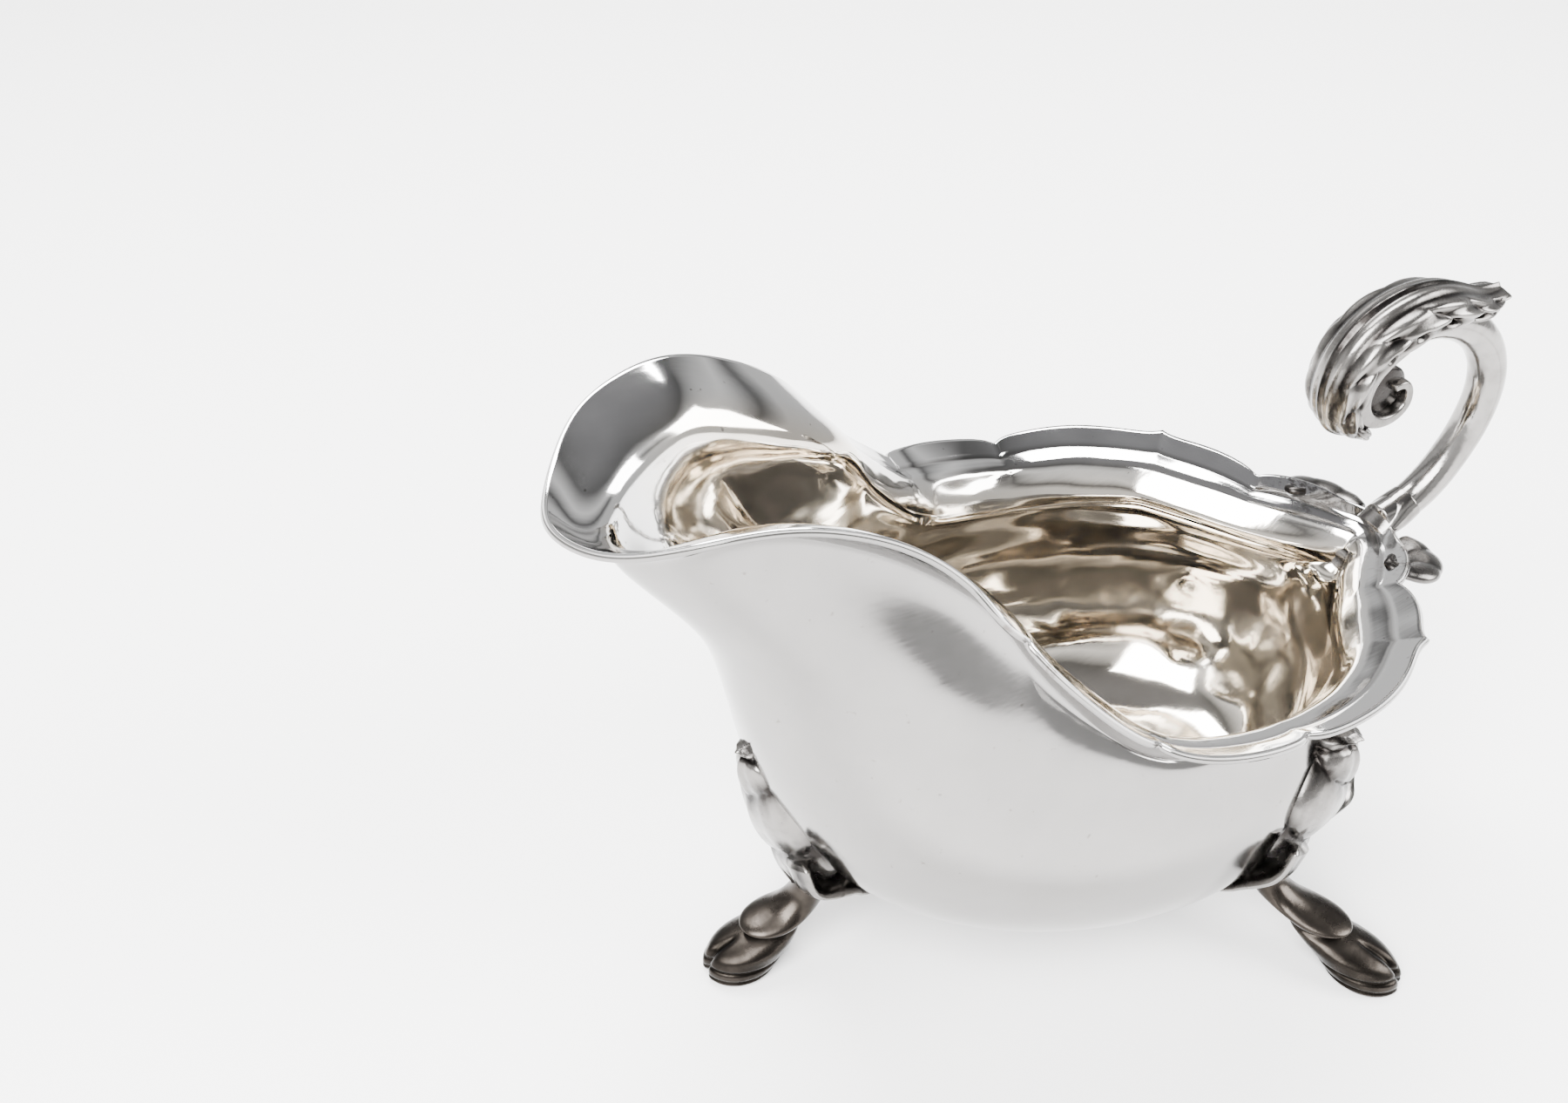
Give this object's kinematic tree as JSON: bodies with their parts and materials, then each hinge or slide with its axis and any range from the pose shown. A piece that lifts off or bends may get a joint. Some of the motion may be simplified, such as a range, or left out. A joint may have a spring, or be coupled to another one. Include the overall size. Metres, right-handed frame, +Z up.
{
  "type": "sauce boat",
  "caption": "Silver sauce boat with a high lip, scalloped flared rim, leaf-capped flying scroll handle and leaf-kneed hoof feet",
  "frame": {"origin": "centre of the bounding box in plan, on the plane of the three hoof soles", "axes": "+X from the spout towards the handle, +Y to the left seen from behind the handle, +Z up"},
  "size_m": [0.1766, 0.1076, 0.1127],
  "materials": {
    "polished_silver": "polished sterling silver with fine scratches and light tarnish",
    "handle_silver": "polished cast silver",
    "chased_silver": "cast and chased silver, oxidised in the recesses",
    "cast_silver_dark": "cast silver, darkened"
  },
  "bodies": {
    "root": {"body": "polished_silver", "handle_bar": "handle_silver", "handle_leaf": "chased_silver", "handle_socket": "handle_silver", "handle_volute": "handle_silver", "knee_leaf_front": "chased_silver", "knee_leaf_rear_left": "chased_silver", "knee_leaf_rear_right": "chased_silver", "knee_wing_a_front": "chased_silver", "knee_wing_a_rear_left": "chased_silver", "knee_wing_a_rear_right": "chased_silver", "knee_wing_b_front": "chased_silver", "knee_wing_b_rear_left": "chased_silver", "knee_wing_b_rear_right": "chased_silver", "leg_front": "cast_silver_dark", "leg_rear_left": "cast_silver_dark", "leg_rear_right": "cast_silver_dark", "root_drop": "chased_silver", "root_ear_left": "chased_silver", "root_ear_right": "chased_silver"}
  },
  "joints": []
}
